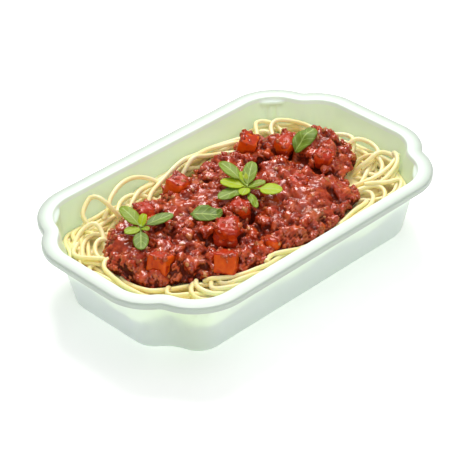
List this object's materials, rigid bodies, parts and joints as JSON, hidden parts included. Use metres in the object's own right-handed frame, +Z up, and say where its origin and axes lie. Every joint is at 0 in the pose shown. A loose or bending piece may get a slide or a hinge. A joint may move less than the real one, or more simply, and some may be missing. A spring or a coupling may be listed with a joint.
{
  "type": "spaghetti bolognese ready meal in a plastic tray",
  "caption": "Lobed pale plastic ready-meal tray filled with spaghetti, a chunky meat and tomato sauce, diced carrot and sprigs of basil.",
  "frame": {"origin": "centre of the tray's base, on the surface that it stands on", "axes": "+X along the tray's long side, +Y across it, +Z up out of the tray"},
  "size_m": [0.2, 0.1254, 0.0438],
  "materials": {
    "tray": "milky pale mint translucent moulded plastic, satin",
    "spaghetti": "cooked pasta, moist and slightly translucent",
    "sauce": "wet, lumpy meat and tomato sauce",
    "carrot": "cooked diced carrot with a film of sauce",
    "tomato": "soft wet tomato pieces",
    "mushroom": "sauce-coated mushroom piece",
    "basil": "fresh leaf, satin with pale veins"
  },
  "bodies": {
    "root": {"tray": "tray", "spaghetti": "spaghetti", "sauce": "sauce", "carrot_front": "carrot", "carrot_left": "carrot", "carrot_back_left": "carrot", "carrot_back": "carrot", "carrot_rear": "carrot", "carrot_middle": "carrot", "carrot_low": "carrot", "tomato_middle": "tomato", "tomato_centre": "tomato", "tomato_left": "tomato", "tomato_right": "tomato", "mushroom_left": "mushroom", "basil_left": "basil", "basil_middle": "basil", "basil_leaf_centre": "basil", "basil_leaf_back": "basil"}
  },
  "joints": []
}
